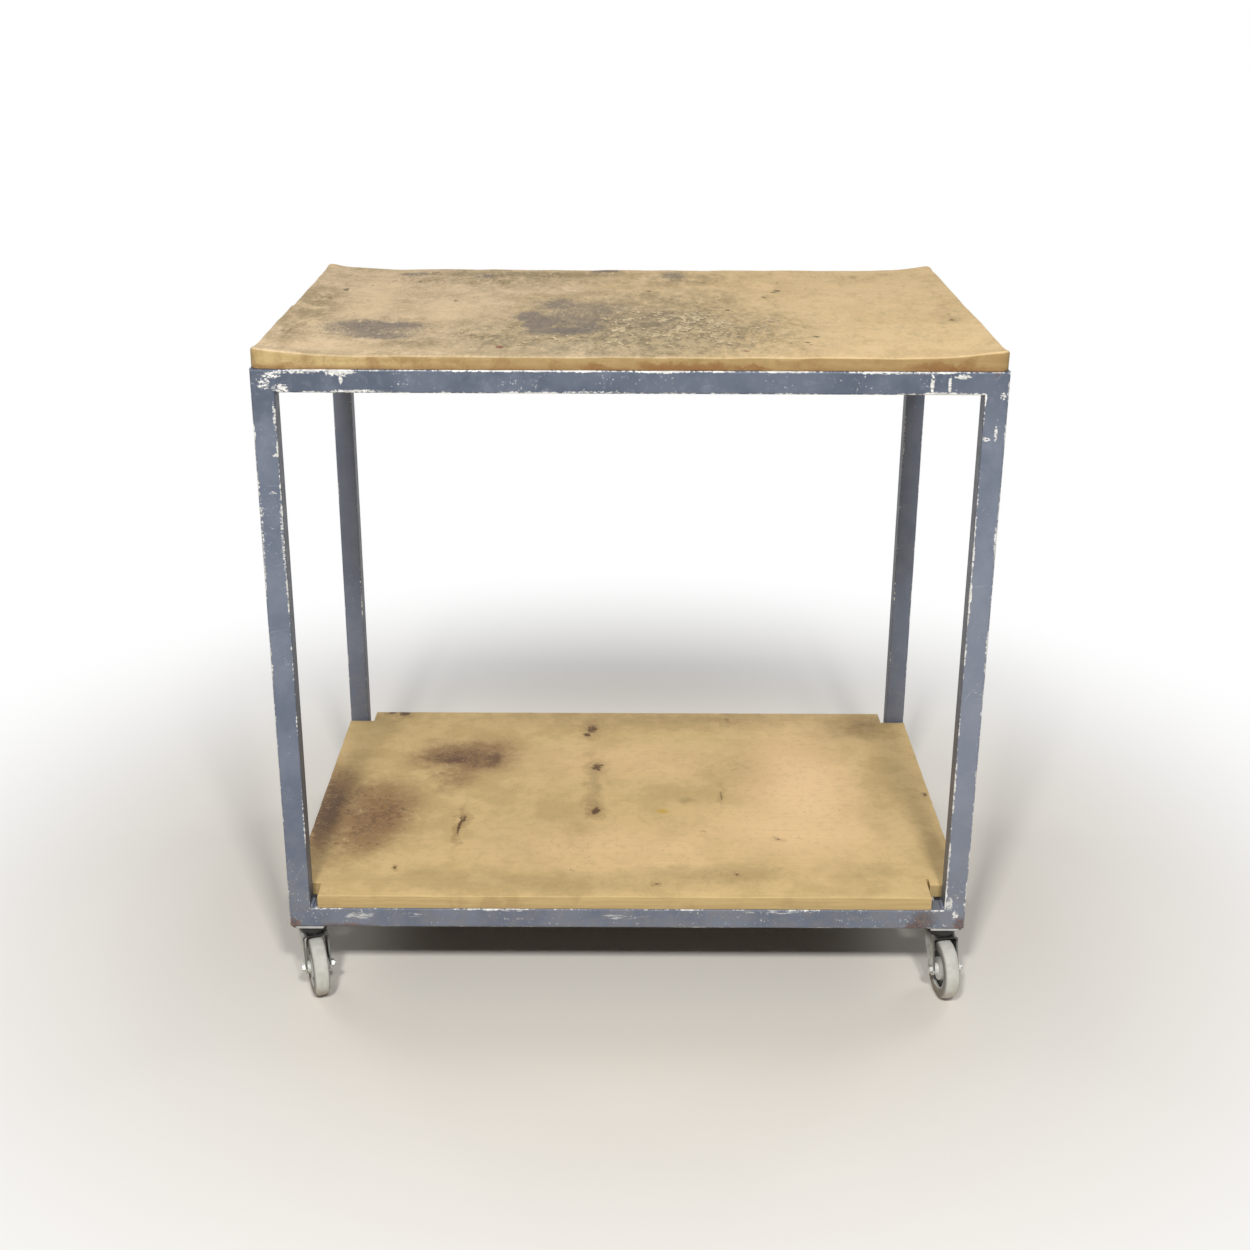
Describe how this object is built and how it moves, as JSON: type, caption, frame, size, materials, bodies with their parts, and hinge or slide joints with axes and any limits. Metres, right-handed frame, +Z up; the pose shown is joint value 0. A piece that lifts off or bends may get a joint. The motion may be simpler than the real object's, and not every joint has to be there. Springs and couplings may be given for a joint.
{
  "type": "workshop trolley",
  "caption": "Welded square-tube trolley with a worn wooden worktop, a notched lower shelf and swivel casters, for moving tools and work around a workshop.",
  "frame": {"origin": "on the floor, under the middle of the trolley", "axes": "+X along the worktop to the right, +Y from front to rear, +Z up"},
  "size_m": [0.9562, 0.6988, 0.9326],
  "materials": {
    "frame_paint": "chipped satin",
    "worktop_wood": "worn and stained",
    "shelf_wood": "worn and stained",
    "caster_zinc": "dull zinc",
    "bright_steel": "bright",
    "hub_plastic": "matte",
    "tyre_rubber": "matte"
  },
  "bodies": {
    "frame": {"leg_front_left": "frame_paint", "leg_front_right": "frame_paint", "leg_rear_left": "frame_paint", "leg_rear_right": "frame_paint", "top_rail_front": "frame_paint", "top_rail_rear": "frame_paint", "top_rail_left": "frame_paint", "top_rail_right": "frame_paint", "bottom_rail_front": "frame_paint", "bottom_rail_rear": "frame_paint", "bottom_rail_left": "frame_paint", "bottom_rail_right": "frame_paint", "frame_welds": "frame_paint", "plate_welds": "frame_paint", "worktop": "worktop_wood", "shelf_board": "shelf_wood", "caster_plate_front_left": "caster_zinc", "swivel_race_front_left": "caster_zinc", "king_pin_front_left": "bright_steel", "caster_plate_front_right": "caster_zinc", "swivel_race_front_right": "caster_zinc", "king_pin_front_right": "bright_steel", "caster_plate_rear_left": "caster_zinc", "swivel_race_rear_left": "caster_zinc", "king_pin_rear_left": "bright_steel", "caster_plate_rear_right": "caster_zinc", "swivel_race_rear_right": "caster_zinc", "king_pin_rear_right": "bright_steel"},
    "caster_front_left": {"swivel_balls_front_left": "bright_steel", "fork_front_left": "caster_zinc", "axle_bolt_front_left": "bright_steel", "axle_nut_front_left": "bright_steel", "axle_sleeve_front_left": "bright_steel"},
    "wheel_front_left": {"wheel_hub_front_left": "hub_plastic", "tyre_front_left": "tyre_rubber"},
    "caster_front_right": {"swivel_balls_front_right": "bright_steel", "fork_front_right": "caster_zinc", "axle_bolt_front_right": "bright_steel", "axle_nut_front_right": "bright_steel", "axle_sleeve_front_right": "bright_steel"},
    "wheel_front_right": {"wheel_hub_front_right": "hub_plastic", "tyre_front_right": "tyre_rubber"},
    "caster_rear_left": {"swivel_balls_rear_left": "bright_steel", "fork_rear_left": "caster_zinc", "axle_bolt_rear_left": "bright_steel", "axle_nut_rear_left": "bright_steel", "axle_sleeve_rear_left": "bright_steel"},
    "wheel_rear_left": {"wheel_hub_rear_left": "hub_plastic", "tyre_rear_left": "tyre_rubber"},
    "caster_rear_right": {"swivel_balls_rear_right": "bright_steel", "fork_rear_right": "caster_zinc", "axle_bolt_rear_right": "bright_steel", "axle_nut_rear_right": "bright_steel", "axle_sleeve_rear_right": "bright_steel"},
    "wheel_rear_right": {"wheel_hub_rear_right": "hub_plastic", "tyre_rear_right": "tyre_rubber"}
  },
  "joints": [
    {"name": "swivel_front_left", "type": "hinge", "parent": "frame", "child": "caster_front_left", "pos_m": [-0.448, -0.285, 0], "axis": [0, 0, 1], "continuous": true},
    {"name": "roll_front_left", "type": "hinge", "parent": "caster_front_left", "child": "wheel_front_left", "pos_m": [-0.44084, -0.3058, 0.0425], "axis": [0.9455, 0.3256, 0], "continuous": true},
    {"name": "swivel_front_right", "type": "hinge", "parent": "frame", "child": "caster_front_right", "pos_m": [0.448, -0.285, 0], "axis": [0, 0, 1], "continuous": true},
    {"name": "roll_front_right", "type": "hinge", "parent": "caster_front_right", "child": "wheel_front_right", "pos_m": [0.45144, -0.30673, 0.0425], "axis": [0.9877, 0.1564, 0], "continuous": true},
    {"name": "swivel_rear_left", "type": "hinge", "parent": "frame", "child": "caster_rear_left", "pos_m": [-0.448, 0.285, 0], "axis": [0, 0, 1], "continuous": true},
    {"name": "roll_rear_left", "type": "hinge", "parent": "caster_rear_left", "child": "wheel_rear_left", "pos_m": [-0.45144, 0.30673, 0.0425], "axis": [-0.9877, -0.1564, 0], "continuous": true},
    {"name": "swivel_rear_right", "type": "hinge", "parent": "frame", "child": "caster_rear_right", "pos_m": [0.448, 0.285, 0], "axis": [0, 0, 1], "continuous": true},
    {"name": "roll_rear_right", "type": "hinge", "parent": "caster_rear_right", "child": "wheel_rear_right", "pos_m": [0.44084, 0.3058, 0.0425], "axis": [-0.9455, -0.3256, 0], "continuous": true}
  ]
}
